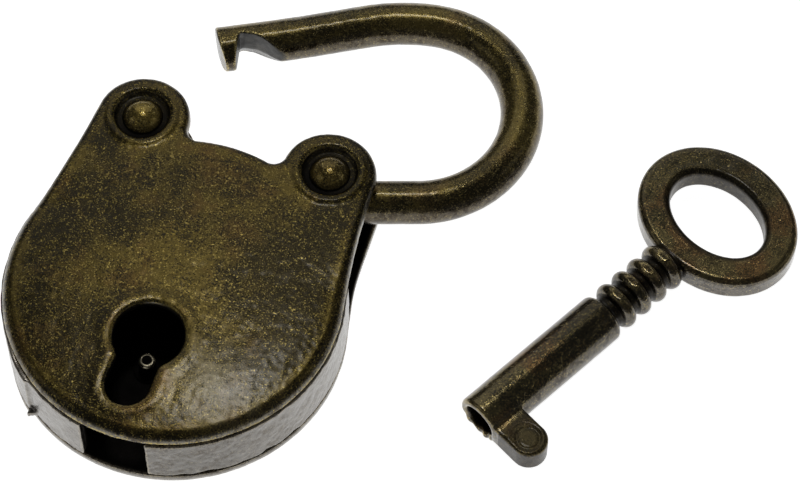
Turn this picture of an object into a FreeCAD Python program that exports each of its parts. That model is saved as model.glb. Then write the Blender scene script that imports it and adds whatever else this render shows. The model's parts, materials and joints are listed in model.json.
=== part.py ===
"""A small warded padlock with two round ears, and the barrel key that works it.

The lock lies on its back plate. The origin is the centre of the round case on its back face,
+Z comes out of the front face, +Y points to the ears and +X to the ear that holds the hinge.
All lengths are millimetres.
"""

import FreeCAD, Part
import math
import os

import Sketcher
from FreeCAD import Rotation, Vector

DRIVING = {
    # round case: radii at the back face and the height of each layer
    "case_radius": 15.0,
    "cover_inset": 0.15,
    "ear_radius": 4.4,
    "ear_offset": 8.78,
    "ear_height": 15.1,
    "flank_radius": 69.0,
    "corner_radius": 0.9,
    "wall": 1.2,
    "plate": 0.95,
    "seam": 6.65,
    "face": 8.1,
    "dome_radius": 450.0,
    "cover_fillet": 0.7,
    "cover_floor": 7.05,
    "cover_pocket_radius": 12.6,
    # wells in the ears and what stands in them
    "hinge_x": 8.84,
    "hinge_y": 15.18,
    "well_radius": 2.45,
    "well_floor": 7.3,
    "dome_head_radius": 1.85,
    "dome_head_height": 1.05,
    "hinge_shaft": 1.2,
    "stud_shank": 0.9,
    "stud_end": 6.3,
    "hinge_tail": 1.9,
    "tail_depth": 0.5,
    "washer_radius": 2.5,
    "running_gap": 0.05,
    # keyhole and the pin that the hollow key slides over
    "keyhole_x": -0.2,
    "keyhole_y": -5.3,
    "keyhole_radius": 3.1,
    "key_slot": 1.9,
    "key_slot_y": -10.25,
    "pin_radius": 0.76,
    "pin_x": -0.7,
    "pin_y": -5.3,
    "pin_top": 2.9,
    "pin_shank": 1.0,
    "pin_root": 0.95,
    "pin_root_top": 1.4,
    "pin_foot": 1.3,
    "pin_foot_top": 1.15,
    # gaps in the case wall
    "window": 2.9,
    "heel_slot_y": 5.5,
    "left_wall_x": -11.6,
    "left_wall_step": 11.0,
    "left_wall_top": 18.2,
    "top_wall_reach": 3.75,
    # blind rivets that hold the back plate to the cover
    "rivet_x": 10.9,
    "rivet_y": -5.6,
    "top_rivet_x": 0.0,
    "top_rivet_y": 11.6,
    "rivet_shank": 0.8,
    "rivet_tail": 1.2,
    "rivet_blind": 0.3,
    # shackle, seen from its hinge with the bow closed
    "bar_radius": 1.94,
    "bar_height": 3.8,
    "leg_x": -16.7,
    "nose_y": -7.18,
    "leg_length": 13.55,
    "shoulder_radius": 18.0,
    "bow_radius": 9.4,
    "bow_centre_x": -6.79,
    "heel_x": 1.05,
    "heel_y": 0.5,
    "eye_radius": 3.1,
    "eye_half": 1.75,
    "open_angle": 59.35,
    "tooth": 1.25,
    "tooth_root": 2.05,
    "notch_floor": 0.3,
    "notch_end": 4.0,
    "notch_rise": 0.25,
    "ramp_end": 6.2,
    "ramp_radius": 4.5,
    "ramp_margin": 0.1,
    "nose_chamfer": 0.6,
    # bolt, in the drawn-back place
    "bolt_bottom": 2.9,
    "bolt_top": 4.7,
    "bolt_throw": 2.3,
    "bolt_left": -4.5,
    "bolt_right": 6.8,
    "bolt_low": -0.8,
    "talon_left": -2.5,
    "talon_right": 4.8,
    "talon_top": 1.2,
    "bolt_step_y": 6.4,
    "bolt_step_x": -3.1,
    "bolt_upper_right": 8.0,
    "bolt_high": 9.6,
    "finger_tip": -4.95,
    "finger_right": -1.3,
    "finger_low": 10.35,
    "finger_high": 11.9,
    "guide_left_x": -0.6,
    "guide_right_x": 4.6,
    "guide_y": 8.0,
    "guide_radius": 0.8,
    "guide_foot": 1.5,
    "guide_head_top": 5.3,
    # leaf spring that steadies the bolt
    "spring_x": 3.9,
    "spring_touch_y": 9.65,
    "spring_radius": 4.5,
    "spring_leaf": 0.35,
    "spring_reach": 3.4,
    "spring_rise": 1.6,
    # key, seen from its axis with the bow up
    "key_x": 28.52,
    "key_y": -0.64,
    "key_z": 2.3,
    "key_angle": 62.14,
    "key_tip": -0.6,
    "barrel_radius": 2.3,
    "barrel_end": 14.9,
    "barrel_chamfer": 0.3,
    "shoulder": 0.6,
    "bore_radius": 1.55,
    "bore_depth": 12.0,
    "shank_radius": 1.58,
    "collar_tube": 0.68,
    "collar_first": 16.1,
    "collar_pitch": 1.87,
    "key_neck_end": 23.2,
    "bow_middle": 28.66,
    "bow_across": 7.75,
    "bow_along": 6.33,
    "eye_across": 4.85,
    "eye_along": 3.43,
    "bow_thick": 2.7,
    "bow_fillet": 0.7,
    "bit_low": -0.55,
    "bit_high": 2.7,
    "bit_reach": 6.2,
    "bit_thick": 2.6,
    # how far a cutting tool runs past what it cuts
    "overrun": 1.0,
}

COLLARS = 4
FINE = 1e-6
FLAT = 0.01


class Size:
    """A number that also knows the sheet expression that drives it."""

    def __init__(self, value, text):
        self.value = value
        self.text = text

    def join(self, other, sign, result):
        return Size(result, f"({self.text} {sign} {text_of(other)})")

    def __add__(self, other):
        return self.join(other, "+", self.value + value_of(other))

    def __sub__(self, other):
        return self.join(other, "-", self.value - value_of(other))

    def __mul__(self, other):
        return self.join(other, "*", self.value * value_of(other))

    def __truediv__(self, other):
        return self.join(other, "/", self.value / value_of(other))

    def __neg__(self):
        return Size(-self.value, f"(-1 * {self.text})")


def value_of(size):
    return size.value if isinstance(size, Size) else float(size)


def text_of(size):
    return size.text if isinstance(size, Size) else repr(float(size))


doc = FreeCAD.newDocument("padlock")
sheet = doc.addObject("Spreadsheet::Sheet", "dims")
for row, (alias, number) in enumerate(DRIVING.items(), start=1):
    sheet.set(f"A{row}", alias)
    sheet.set(f"B{row}", str(number))
    sheet.setAlias(f"B{row}", alias)
doc.recompute()


def dim(alias):
    return Size(float(sheet.get(alias)), f"dims.{alias}")


# ---------------------------------------------------------------- helpers


def bind(thing, prop, size):
    thing.setExpression(prop, text_of(size))


def place(thing, x=0.0, y=0.0, z=0.0):
    for axis, size in zip("xyz", (x, y, z)):
        bind(thing, f"Placement.Base.{axis}", size)


def add(kind, label):
    thing = doc.addObject(kind, label)
    thing.Label = label
    return thing


def box(label, low, high):
    """A block between two corners."""
    block = add("Part::Box", label)
    for prop, start, end in zip(("Length", "Width", "Height"), low, high):
        bind(block, prop, Size(value_of(end), text_of(end)) - start)
    place(block, *low)
    return block


def cylinder(label, x, y, bottom, top, radius):
    rod = add("Part::Cylinder", label)
    bind(rod, "Radius", radius)
    bind(rod, "Height", Size(value_of(top), text_of(top)) - bottom)
    place(rod, x, y, bottom)
    return rod


def cone(label, x, y, bottom, top, low_radius, high_radius):
    taper = add("Part::Cone", label)
    bind(taper, "Radius1", low_radius)
    bind(taper, "Radius2", high_radius)
    bind(taper, "Height", Size(value_of(top), text_of(top)) - bottom)
    place(taper, x, y, bottom)
    return taper


def dome(label, x, y, bottom, radius, height):
    """A low spherical cap that stands on a flat circle."""
    sphere_radius = (radius * radius + height * height) / (height * 2)
    below = sphere_radius - height
    cap = add("Part::Sphere", label)
    bind(cap, "Radius", sphere_radius)
    cap.setExpression("Angle1", f"asin({below.text} / {sphere_radius.text})")
    place(cap, x, y, bottom - below)
    return cap


def fuse(label, *pieces):
    whole = add("Part::MultiFuse", label)
    whole.Shapes = list(pieces)
    whole.Refine = True
    return whole


def cut(label, base, tool):
    rest = add("Part::Cut", label)
    rest.Base = base
    rest.Tool = tool
    rest.Refine = True
    return rest


def common(label, base, tool):
    both = add("Part::Common", label)
    both.Base = base
    both.Tool = tool
    both.Refine = True
    return both


def new_body(label):
    return add("PartDesign::Body", label)


def new_sketch(body, role, name, height=0.0):
    """A sketch on one of the body's origin planes, raised by height."""
    sketch = body.newObject("Sketcher::SketchObject", name)
    plane = next(p for p in body.Origin.OriginFeatures if p.Role == role)
    sketch.AttachmentSupport = [(plane, "")]
    sketch.MapMode = "FlatFace"
    bind(sketch, "AttachmentOffset.Base.z", height)
    return sketch


def fix(sketch, kind, arguments, size):
    """Adds one dimension to a sketch and drives it from the sheet."""
    index = sketch.addConstraint(Sketcher.Constraint(kind, *arguments, value_of(size)))
    bind(sketch, f"Constraints[{index}]", size)


def fix_point(sketch, edge, point, x, y):
    fix(sketch, "DistanceX", (-1, 1, edge, point), x)
    fix(sketch, "DistanceY", (-1, 1, edge, point), y)


def add_circle(sketch, x, y, radius):
    centre = Vector(value_of(x), value_of(y), 0)
    edge = sketch.addGeometry(Part.Circle(centre, Vector(0, 0, 1), value_of(radius)))
    fix(sketch, "Radius", (edge,), radius)
    fix_point(sketch, edge, 3, x, y)


def arc_between(start, end, radius):
    """The shorter arc from start to end that turns left for a positive radius."""
    chord = end - start
    middle = (start + end) * 0.5
    rise = math.sqrt(max(radius * radius - chord.Length**2 / 4, 0.0))
    side = Vector(-chord.y, chord.x, 0).normalize() * math.copysign(rise, radius)
    centre = middle + side
    circle = Part.Circle(centre, Vector(0, 0, 1), abs(radius))
    first = math.atan2(start.y - centre.y, start.x - centre.x)
    last = math.atan2(end.y - centre.y, end.x - centre.x)
    if radius < 0:
        first, last = last, first
    return Part.ArcOfCircle(circle, first, last)


def add_loop(sketch, corners):
    """A closed outline. Each corner is (x, y) or (x, y, radius of the arc that leaves it)."""
    points = [Vector(value_of(c[0]), value_of(c[1]), 0) for c in corners]
    ends = []
    for number, corner in enumerate(corners):
        start = points[number]
        end = points[(number + 1) % len(corners)]
        if len(corner) == 2:
            edge = sketch.addGeometry(Part.LineSegment(start, end))
            ends.append((edge, 1, 2))
            continue
        radius = corner[2]
        edge = sketch.addGeometry(arc_between(start, end, value_of(radius)))
        turns_left = value_of(radius) > 0
        ends.append((edge, 1, 2) if turns_left else (edge, 2, 1))
        chord = end - start
        if chord.Length < 2 * abs(value_of(radius)) - FINE:
            fix(sketch, "Radius", (edge,), radius if turns_left else -radius)
        elif abs(chord.x) < abs(chord.y):
            fix(sketch, "DistanceX", (-1, 1, edge, 3), corner[0])
        else:
            fix(sketch, "DistanceY", (-1, 1, edge, 3), corner[1])
    for number, corner in enumerate(corners):
        edge, first, last = ends[number]
        after, after_first, _ = ends[(number + 1) % len(corners)]
        sketch.addConstraint(Sketcher.Constraint("Coincident", edge, last, after, after_first))
        fix_point(sketch, edge, first, corner[0], corner[1])


def pad(body, sketch, length, name="Pad", both_ways=False):
    feature = body.newObject("PartDesign::Pad", name)
    feature.Profile = sketch
    if both_ways:
        feature.SideType = "Symmetric"
    bind(feature, "Length", length)
    return feature


def pocket(body, sketch, length, name="Pocket", both_ways=False, upward=False):
    feature = body.newObject("PartDesign::Pocket", name)
    feature.Profile = sketch
    if both_ways:
        feature.SideType = "Symmetric"
    feature.Reversed = upward
    bind(feature, "Length", length)
    return feature


def revolve(body, sketch, axis, kind="PartDesign::Revolution"):
    feature = body.newObject(kind, "Turned")
    feature.Profile = sketch
    feature.ReferenceAxis = (sketch, [axis])
    feature.Angle = 360.0
    return feature


# ---------------------------------------------------------------- case outline


def tangent_arc(centre, radius, start, end):
    circle = Part.Circle(Vector(*centre, 0), Vector(0, 0, 1), radius)
    return Part.ArcOfCircle(circle, start, end)


def direction(start, end):
    return math.atan2(end[1] - start[1], end[0] - start[0])


def circle_meeting(centre_a, radius_a, centre_b, radius_b, side):
    """Where two circles cross: side is +1 for the crossing to the left of a to b."""
    gap = math.dist(centre_a, centre_b)
    along = (gap**2 + radius_a**2 - radius_b**2) / (2 * gap)
    off = side * math.sqrt(radius_a**2 - along**2)
    ux = (centre_b[0] - centre_a[0]) / gap
    uy = (centre_b[1] - centre_a[1]) / gap
    return (centre_a[0] + along * ux - off * uy, centre_a[1] + along * uy + off * ux)


def add_case_outline(sketch, inset):
    """The round case with its two ears, drawn anticlockwise and drawn in by inset.

    Hollow flank arcs run from the case to the ears, and small hollow corners join
    the ears to the top of the case.
    """
    case = dim("case_radius") - inset
    ear = dim("ear_radius") - inset
    flank = dim("flank_radius") + inset
    corner = dim("corner_radius") + inset
    r_case, r_ear, r_flank, r_corner = (s.value for s in (case, ear, flank, corner))
    middle = (0.0, 0.0)
    ear_right = (dim("ear_offset").value, dim("ear_height").value)
    flank_right = circle_meeting(middle, r_case + r_flank, ear_right, r_ear + r_flank, -1)
    corner_right = circle_meeting(middle, r_case + r_corner, ear_right, r_ear + r_corner, 1)

    def mirrored(point):
        return (-point[0], point[1])

    to_flank = direction(middle, flank_right)
    to_corner = direction(middle, corner_right)
    ear_to_flank = direction(ear_right, flank_right)
    ear_to_corner = direction(ear_right, corner_right)
    half = math.pi
    turn = 2 * math.pi
    arcs = [
        (middle, r_case, half - to_flank, turn + to_flank),
        (flank_right, r_flank, half + ear_to_flank, half + to_flank),
        (ear_right, r_ear, ear_to_flank, ear_to_corner),
        (corner_right, r_corner, half + to_corner, half + ear_to_corner),
        (middle, r_case, to_corner, half - to_corner),
        (mirrored(corner_right), r_corner, -ear_to_corner, -to_corner),
        (mirrored(ear_right), r_ear, half - ear_to_corner, half - ear_to_flank),
        (mirrored(flank_right), r_flank, -to_flank, -ear_to_flank),
    ]
    first = sketch.addGeometry([tangent_arc(*arc) for arc in arcs])[0]
    hollow = (1, 3, 5, 7)
    for number in range(len(arcs)):
        after = (number + 1) % len(arcs)
        last_point = 1 if number in hollow else 2
        first_point = 2 if after in hollow else 1
        joint = (first + number, last_point, first + after, first_point)
        sketch.addConstraint(Sketcher.Constraint("Tangent", *joint))
    for number, radius in zip(range(8), (case, flank, ear, corner, case, corner, ear, flank)):
        fix(sketch, "Radius", (first + number,), radius)
    for number in (0, 4):
        sketch.addConstraint(Sketcher.Constraint("Coincident", first + number, 3, -1, 1))
    fix_point(sketch, first + 2, 3, dim("ear_offset"), dim("ear_height"))
    fix_point(sketch, first + 6, 3, -dim("ear_offset"), dim("ear_height"))


# ---------------------------------------------------------------- rivets and pins


def rivet(label, x, y, shaft, top, tail):
    """A pin from the back face up to top, its tail spread into the back plate's countersink."""
    shank = cylinder(f"{label}_shank", x, y, 0.0, top, shaft)
    spread = cone(f"{label}_tail", x, y, 0.0, dim("tail_depth"), tail, shaft)
    return shank, spread


def rivet_places():
    """Label, centre, shaft and tail of everything that is riveted into the back plate."""
    shank = dim("rivet_shank")
    tail = dim("rivet_tail")
    return {
        "hinge_rivet": (dim("hinge_x"), dim("hinge_y"), dim("hinge_shaft"), dim("hinge_tail")),
        "key_pin": (dim("pin_x"), dim("pin_y"), dim("pin_shank"), tail),
        "case_rivet_left": (-dim("rivet_x"), dim("rivet_y"), shank, tail),
        "case_rivet_right": (dim("rivet_x"), dim("rivet_y"), shank, tail),
        "case_rivet_top": (dim("top_rivet_x"), dim("top_rivet_y"), shank, tail),
        "bolt_guide_left": (dim("guide_left_x"), dim("guide_y"), dim("guide_radius"), tail),
        "bolt_guide_right": (dim("guide_right_x"), dim("guide_y"), dim("guide_radius"), tail),
    }


def make_hinge_rivet():
    x, y, shaft, tail = rivet_places()["hinge_rivet"]
    floor = dim("well_floor")
    head = dome("hinge_head", x, y, floor, dim("dome_head_radius"), dim("dome_head_height"))
    return fuse("hinge_rivet", head, *rivet("hinge_rivet", x, y, shaft, floor, tail))


def make_ear_stud():
    """The matching head in the other ear. Its shank ends above the path of the shackle."""
    x = -dim("hinge_x")
    y = dim("hinge_y")
    floor = dim("well_floor")
    head = dome("stud_head", x, y, floor, dim("dome_head_radius"), dim("dome_head_height"))
    shank = cylinder("stud_shank_rod", x, y, dim("stud_end"), floor, dim("stud_shank"))
    return fuse("ear_stud", head, shank)


def make_key_pin():
    """A pin on a shouldered foot, with a short taper between the two."""
    x, y, shaft, tail = rivet_places()["key_pin"]
    pin = dim("pin_radius")
    foot_top = dim("pin_foot_top")
    root_top = dim("pin_root_top")
    foot = cylinder("key_pin_foot", x, y, dim("plate"), foot_top, dim("pin_foot"))
    root = cone("key_pin_root", x, y, foot_top, root_top, dim("pin_root"), pin)
    end = cylinder("key_pin_end", x, y, root_top, dim("pin_top"), pin)
    return fuse("key_pin", foot, root, end, *rivet("key_pin", x, y, shaft, foot_top, tail))


def make_case_rivets():
    places = rivet_places()
    top = dim("cover_floor") + dim("rivet_blind")
    for label in ("case_rivet_left", "case_rivet_right", "case_rivet_top"):
        x, y, shaft, tail = places[label]
        fuse(label, *rivet(label, x, y, shaft, top, tail))


def make_bolt_guides():
    """Shouldered pins: the bolt slides between each pin's foot and its head."""
    gap = dim("running_gap")
    for label in ("bolt_guide_left", "bolt_guide_right"):
        x, y, shaft, tail = rivet_places()[label]
        foot_top = dim("bolt_bottom") - gap
        foot = cylinder(f"{label}_foot", x, y, dim("plate"), foot_top, dim("guide_foot"))
        head_low = dim("bolt_top") + gap
        head = cylinder(f"{label}_head", x, y, head_low, dim("guide_head_top"), dim("guide_foot"))
        fuse(label, foot, head, *rivet(label, x, y, shaft, head_low, tail))


# ---------------------------------------------------------------- case


def add_plate_tools(name):
    """Holes and countersinks for every riveted tail."""
    tools = []
    overrun = dim("overrun")
    top = dim("plate") + overrun
    for label, (x, y, shaft, tail) in rivet_places().items():
        tools.append(cylinder(f"{name}_{label}_hole", x, y, -overrun, top, shaft))
        tools.append(cone(f"{name}_{label}_sink", x, y, 0.0, dim("tail_depth"), tail, shaft))
    return fuse(f"{name}_holes", *tools)


def make_back_plate():
    body = new_body("back_blank")
    sketch = new_sketch(body, "XY_Plane", "back_outline")
    add_case_outline(sketch, Size(0.0, "0"))
    pad(body, sketch, dim("plate"))
    return cut("back_plate", body, add_plate_tools("plate"))


def make_wall_ring():
    """The full case wall, from which the three wall pieces are cut."""
    body = new_body("wall_ring")
    outside = new_sketch(body, "XY_Plane", "wall_outside", dim("plate"))
    add_case_outline(outside, Size(0.0, "0"))
    height = dim("seam") - dim("plate")
    pad(body, outside, height)
    inside = new_sketch(body, "XY_Plane", "wall_inside", dim("plate"))
    add_case_outline(inside, dim("wall"))
    pocket(body, inside, height * 2, both_ways=True)
    return body


def make_walls(ring):
    """Left and right walls part at the window, and a short wall closes the top between the ears."""
    overrun = dim("overrun")
    low = dim("plate") - overrun
    high = dim("seam") + overrun
    far = dim("case_radius") * 2
    window = dim("window")
    step = dim("left_wall_step")
    left_body = box("left_wall_low", (-far, -far, low), (-window, step, high))
    left_ear_low = (-far, step - overrun, low)
    left_ear_high = (dim("left_wall_x"), dim("left_wall_top"), high)
    left_ear = box("left_wall_ear", left_ear_low, left_ear_high)
    common("wall_left", ring, fuse("left_wall_reach", left_body, left_ear))
    right = box("right_wall_reach", (window, -far, low), (far, dim("heel_slot_y"), high))
    common("wall_right", ring, right)
    reach = dim("top_wall_reach")
    top = box("top_wall_span", (-reach, dim("finger_low"), low), (reach, far, high))
    common("wall_top", ring, top)


def add_keyhole(body):
    """A round hole for the barrel that runs down into a round-ended slot for the bit."""
    height = dim("face") + dim("overrun")
    barrel = new_sketch(body, "XY_Plane", "keyhole_barrel", height)
    add_circle(barrel, dim("keyhole_x"), dim("keyhole_y"), dim("keyhole_radius"))
    pocket(body, barrel, height, name="KeyholeBarrel")
    slot = new_sketch(body, "XY_Plane", "keyhole_slot", height)
    left = dim("keyhole_x") - dim("key_slot")
    right = dim("keyhole_x") + dim("key_slot")
    low = dim("key_slot_y")
    high = dim("keyhole_y")
    add_loop(slot, [(right, high), (left, high), (left, low, dim("key_slot")), (right, low)])
    pocket(body, slot, height, name="KeyholeSlot")


def make_front_cover():
    """A shallow pan with a gently domed face, a rounded rim, a keyhole and a well in each ear."""
    body = new_body("front_cover")
    outline = new_sketch(body, "XY_Plane", "cover_outline", dim("seam"))
    add_case_outline(outline, dim("cover_inset"))
    pad(body, outline, dim("face") - dim("seam"))
    crown = new_sketch(body, "XZ_Plane", "cover_crown")
    face = dim("face")
    reach = dim("ear_height") + dim("ear_radius") * 2
    top = face + dim("overrun")
    drop = reach * reach / (dim("dome_radius") * 2)
    rim = (reach, face - drop, dim("dome_radius"))
    add_loop(crown, [rim, (Size(0.0, "0"), face), (Size(0.0, "0"), top), (reach, top)])
    revolve(body, crown, "V_Axis", "PartDesign::Groove")
    doc.recompute()
    add_rim_fillet(body)
    hollow = new_sketch(body, "XY_Plane", "cover_hollow", dim("seam"))
    add_circle(hollow, 0.0, 0.0, dim("cover_pocket_radius"))
    pocket(body, hollow, dim("cover_floor") - dim("seam"), name="Hollow", upward=True)
    for side, name in ((1, "right"), (-1, "left")):
        x = dim("hinge_x") * side
        well = new_sketch(body, "XY_Plane", f"well_{name}", top)
        add_circle(well, x, dim("hinge_y"), dim("well_radius"))
        pocket(body, well, top - dim("well_floor"), name=f"Well_{name}")
        hole = new_sketch(body, "XY_Plane", f"ear_hole_{name}", top)
        shaft = dim("hinge_shaft") if side > 0 else dim("stud_shank")
        add_circle(hole, x, dim("hinge_y"), shaft)
        pocket(body, hole, top, name=f"EarHole_{name}")
    rivets = new_sketch(body, "XY_Plane", "blind_holes", dim("seam"))
    places = rivet_places()
    for label in ("case_rivet_left", "case_rivet_right", "case_rivet_top"):
        x, y, shaft, _ = places[label]
        add_circle(rivets, x, y, shaft)
    depth = dim("cover_floor") + dim("rivet_blind") - dim("seam")
    pocket(body, rivets, depth, name="BlindHoles", upward=True)
    add_keyhole(body)
    return body


def add_rim_fillet(body):
    """Rounds the edge where the domed face meets the sides."""
    blank = body.Tip
    seam = dim("seam").value + dim("cover_fillet").value
    rim = []
    for number, edge in enumerate(blank.Shape.Edges, start=1):
        if edge.BoundBox.ZMin > seam:
            rim.append(f"Edge{number}")
    rounded = body.newObject("PartDesign::Fillet", "Rim")
    rounded.Base = (blank, rim)
    bind(rounded, "Radius", dim("cover_fillet"))


def make_hinge_washers():
    """Rings that keep the shackle's eye midway between the plate and the cover."""
    gap = dim("running_gap")
    half = dim("bar_radius")
    middle = dim("bar_height")
    spans = {
        "hinge_washer_back": (dim("plate"), middle - half - gap),
        "hinge_washer_front": (middle + half + gap, dim("seam")),
    }
    for label, (bottom, top) in spans.items():
        x = dim("hinge_x")
        y = dim("hinge_y")
        disc = cylinder(f"{label}_disc", x, y, bottom, top, dim("washer_radius"))
        hole = cylinder(f"{label}_hole", x, y, bottom, top, dim("hinge_shaft"))
        cut(label, disc, hole)


# ---------------------------------------------------------------- shackle


def add_shackle_path(sketch):
    """From the nose up the straight leg, round the shoulder and the bow, and back to the eye."""
    leg_x = dim("leg_x")
    shoulder = dim("shoulder_radius")
    bow = dim("bow_radius")
    leg_top = dim("nose_y") + dim("leg_length")
    start = Vector(leg_x.value, dim("nose_y").value, 0)
    bend = Vector(leg_x.value, leg_top.value, 0)
    shoulder_middle = bend + Vector(shoulder.value, 0, 0)
    between = shoulder.value - bow.value
    bow_x = dim("bow_centre_x").value
    rise = math.sqrt(between**2 - (shoulder_middle.x - bow_x) ** 2)
    bow_middle = Vector(bow_x, shoulder_middle.y + rise, 0)
    heel = Vector(dim("heel_x").value, dim("heel_y").value, 0)
    join_angle = direction(tuple(shoulder_middle)[:2], tuple(bow_middle)[:2])
    reach = bow_middle - heel
    tangent = math.asin(bow.value / reach.Length)
    heel_angle = math.atan2(reach.y, reach.x) - tangent - math.pi / 2
    touch = bow_middle + Vector(math.cos(heel_angle), math.sin(heel_angle), 0) * bow.value
    leg = sketch.addGeometry(Part.LineSegment(start, bend))
    round_one = tangent_arc(tuple(shoulder_middle)[:2], shoulder.value, join_angle, math.pi)
    first_arc = sketch.addGeometry(round_one)
    round_two = tangent_arc(tuple(bow_middle)[:2], bow.value, heel_angle, join_angle)
    second_arc = sketch.addGeometry(round_two)
    last = sketch.addGeometry(Part.LineSegment(touch, heel))
    sketch.addConstraint(Sketcher.Constraint("Vertical", leg))
    fix_point(sketch, leg, 1, leg_x, dim("nose_y"))
    fix(sketch, "DistanceY", (leg, 1, leg, 2), dim("leg_length"))
    sketch.addConstraint(Sketcher.Constraint("Tangent", leg, 2, first_arc, 2))
    sketch.addConstraint(Sketcher.Constraint("Tangent", first_arc, 1, second_arc, 2))
    sketch.addConstraint(Sketcher.Constraint("Tangent", second_arc, 1, last, 1))
    fix(sketch, "Radius", (first_arc,), shoulder)
    fix(sketch, "Radius", (second_arc,), bow)
    fix(sketch, "DistanceX", (-1, 1, second_arc, 3), dim("bow_centre_x"))
    fix_point(sketch, last, 2, dim("heel_x"), dim("heel_y"))


def add_nose_notch(body):
    """The notch that the bolt enters: a sloping tooth, a flat floor and a hollow ramp."""
    sketch = new_sketch(body, "XY_Plane", "nose_notch")
    leg = dim("leg_x")
    end = dim("nose_y")
    inner = leg + dim("bar_radius")
    outside = inner + dim("overrun")
    corners = [
        (outside, end + dim("tooth")),
        (outside, end + dim("ramp_end")),
        (inner + dim("ramp_margin"), end + dim("ramp_end"), -dim("ramp_radius")),
        (leg + dim("notch_rise"), end + dim("notch_end")),
        (leg - dim("notch_floor"), end + dim("tooth_root")),
        (inner, end + dim("tooth")),
    ]
    add_loop(sketch, corners)
    pocket(body, sketch, dim("bar_radius") * 8, name="Notch", both_ways=True)
    bevel = new_sketch(body, "XY_Plane", "nose_bevel")
    low = end - dim("overrun")
    high = end + dim("nose_chamfer")
    add_loop(bevel, [(outside, low), (outside, high), (leg, end), (leg, low)])
    pocket(body, bevel, dim("bar_radius") * 8, name="Bevel", both_ways=True)


def make_shackle():
    """One cast piece: a bent round bar with an eye for the hinge and a notched nose.

    It is drawn closed, with the hinge at its own origin, and then swung open.
    """
    body = new_body("shackle")
    height = dim("bar_height")
    path = new_sketch(body, "XY_Plane", "shackle_path")
    add_shackle_path(path)
    section = new_sketch(body, "XZ_Plane", "shackle_section", -dim("nose_y"))
    add_circle(section, dim("leg_x"), 0.0, dim("bar_radius"))
    doc.recompute()
    bar = body.newObject("PartDesign::AdditivePipe", "Bar")
    bar.Profile = section
    bar.Spine = path
    doc.recompute()
    eye = new_sketch(body, "XY_Plane", "shackle_eye")
    add_circle(eye, 0.0, 0.0, dim("eye_radius"))
    pad(body, eye, dim("eye_half") * 2, name="Eye", both_ways=True)
    add_nose_notch(body)
    hole = new_sketch(body, "XY_Plane", "shackle_hole")
    add_circle(hole, 0.0, 0.0, dim("hinge_shaft") + dim("running_gap"))
    pocket(body, hole, dim("bar_radius") * 8, name="EyeHole", both_ways=True)
    place(body, dim("hinge_x"), dim("hinge_y"), height)
    body.Placement.Rotation = Rotation(Vector(0, 0, 1), -dim("open_angle").value)
    body.setExpression("Placement.Rotation.Axis.x", "0")
    body.setExpression("Placement.Rotation.Axis.y", "0")
    body.setExpression("Placement.Rotation.Axis.z", "1")
    body.setExpression("Placement.Rotation.Angle", "-1 * dims.open_angle")
    return body


# ---------------------------------------------------------------- bolt and its spring


def make_bolt():
    """A flat bolt: a finger for the nose, two guide slots, and a gap that the key's bit turns in."""
    body = new_body("bolt")
    sketch = new_sketch(body, "XY_Plane", "bolt_outline", dim("bolt_bottom"))
    low = dim("bolt_low")
    talon_top = dim("talon_top")
    step = dim("bolt_step_y")
    step_x = dim("bolt_step_x")
    finger_low = dim("finger_low")
    finger_high = dim("finger_high")
    corners = [
        (dim("bolt_left"), low),
        (dim("talon_left"), low),
        (dim("talon_left"), talon_top),
        (dim("talon_right"), talon_top),
        (dim("talon_right"), low),
        (dim("bolt_right"), low),
        (dim("bolt_right"), step),
        (dim("bolt_upper_right"), step),
        (dim("bolt_upper_right"), dim("bolt_high")),
        (dim("finger_right"), dim("bolt_high")),
        (dim("finger_right"), finger_high),
        (dim("finger_tip"), finger_high),
        (dim("finger_tip"), finger_low),
        (step_x, finger_low),
        (step_x, step),
        (dim("bolt_left"), step),
    ]
    add_loop(sketch, corners)
    thick = dim("bolt_top") - dim("bolt_bottom")
    pad(body, sketch, thick)
    half = dim("guide_radius") + dim("running_gap")
    throw = dim("bolt_throw")
    for name in ("left", "right"):
        slot = new_sketch(body, "XY_Plane", f"bolt_slot_{name}", dim("bolt_bottom"))
        start = dim(f"guide_{name}_x")
        end = start + throw
        under = dim("guide_y") - half
        over = dim("guide_y") + half
        add_loop(slot, [(start, under), (end, under, half), (end, over), (start, over, half)])
        pocket(body, slot, thick * 4, name=f"Slot_{name}", both_ways=True)
    return body


def make_bolt_spring():
    """A bowed leaf that bears on the bolt's top edge, with a rolled eye round its post."""
    x = dim("spring_x")
    outer = dim("spring_radius")
    leaf = dim("spring_leaf")
    middle_y = dim("spring_touch_y") + outer
    low = dim("bolt_bottom")
    high = dim("bolt_top")
    ring_out = cylinder("spring_arc_outer", x, middle_y, low, high, outer)
    ring_in = cylinder("spring_arc_inner", x, middle_y, low, high, outer - leaf)
    ring = cut("spring_arc", ring_out, ring_in)
    reach = dim("spring_reach")
    touch = dim("spring_touch_y")
    span_low = (x - reach, touch - dim("overrun"), low)
    span = box("spring_span", span_low, (x + reach, touch + dim("spring_rise"), high))
    strip = common("spring_strip", ring, span)
    post_x, post_y, post, _ = rivet_places()["case_rivet_top"]
    eye_out = cylinder("spring_eye_outer", post_x, post_y, low, high, post + leaf)
    whole = fuse("spring_whole", strip, eye_out)
    eye_in = cylinder("spring_eye_inner", post_x, post_y, low, high, post)
    cut("bolt_spring", whole, eye_in)


# ---------------------------------------------------------------- key


def add_ellipse(sketch, y, across, along):
    centre = Vector(0, value_of(y), 0)
    right = centre + Vector(value_of(across), 0, 0)
    up = centre + Vector(0, value_of(along), 0)
    edge = sketch.addGeometry(Part.Ellipse(right, up, centre))
    sketch.exposeInternalGeometry(edge)
    sketch.addConstraint(Sketcher.Constraint("Horizontal", edge + 1))
    fix(sketch, "Distance", (edge + 1,), across * 2)
    fix(sketch, "Distance", (edge + 2,), along * 2)
    fix_point(sketch, edge, 3, 0.0, y)


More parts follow.
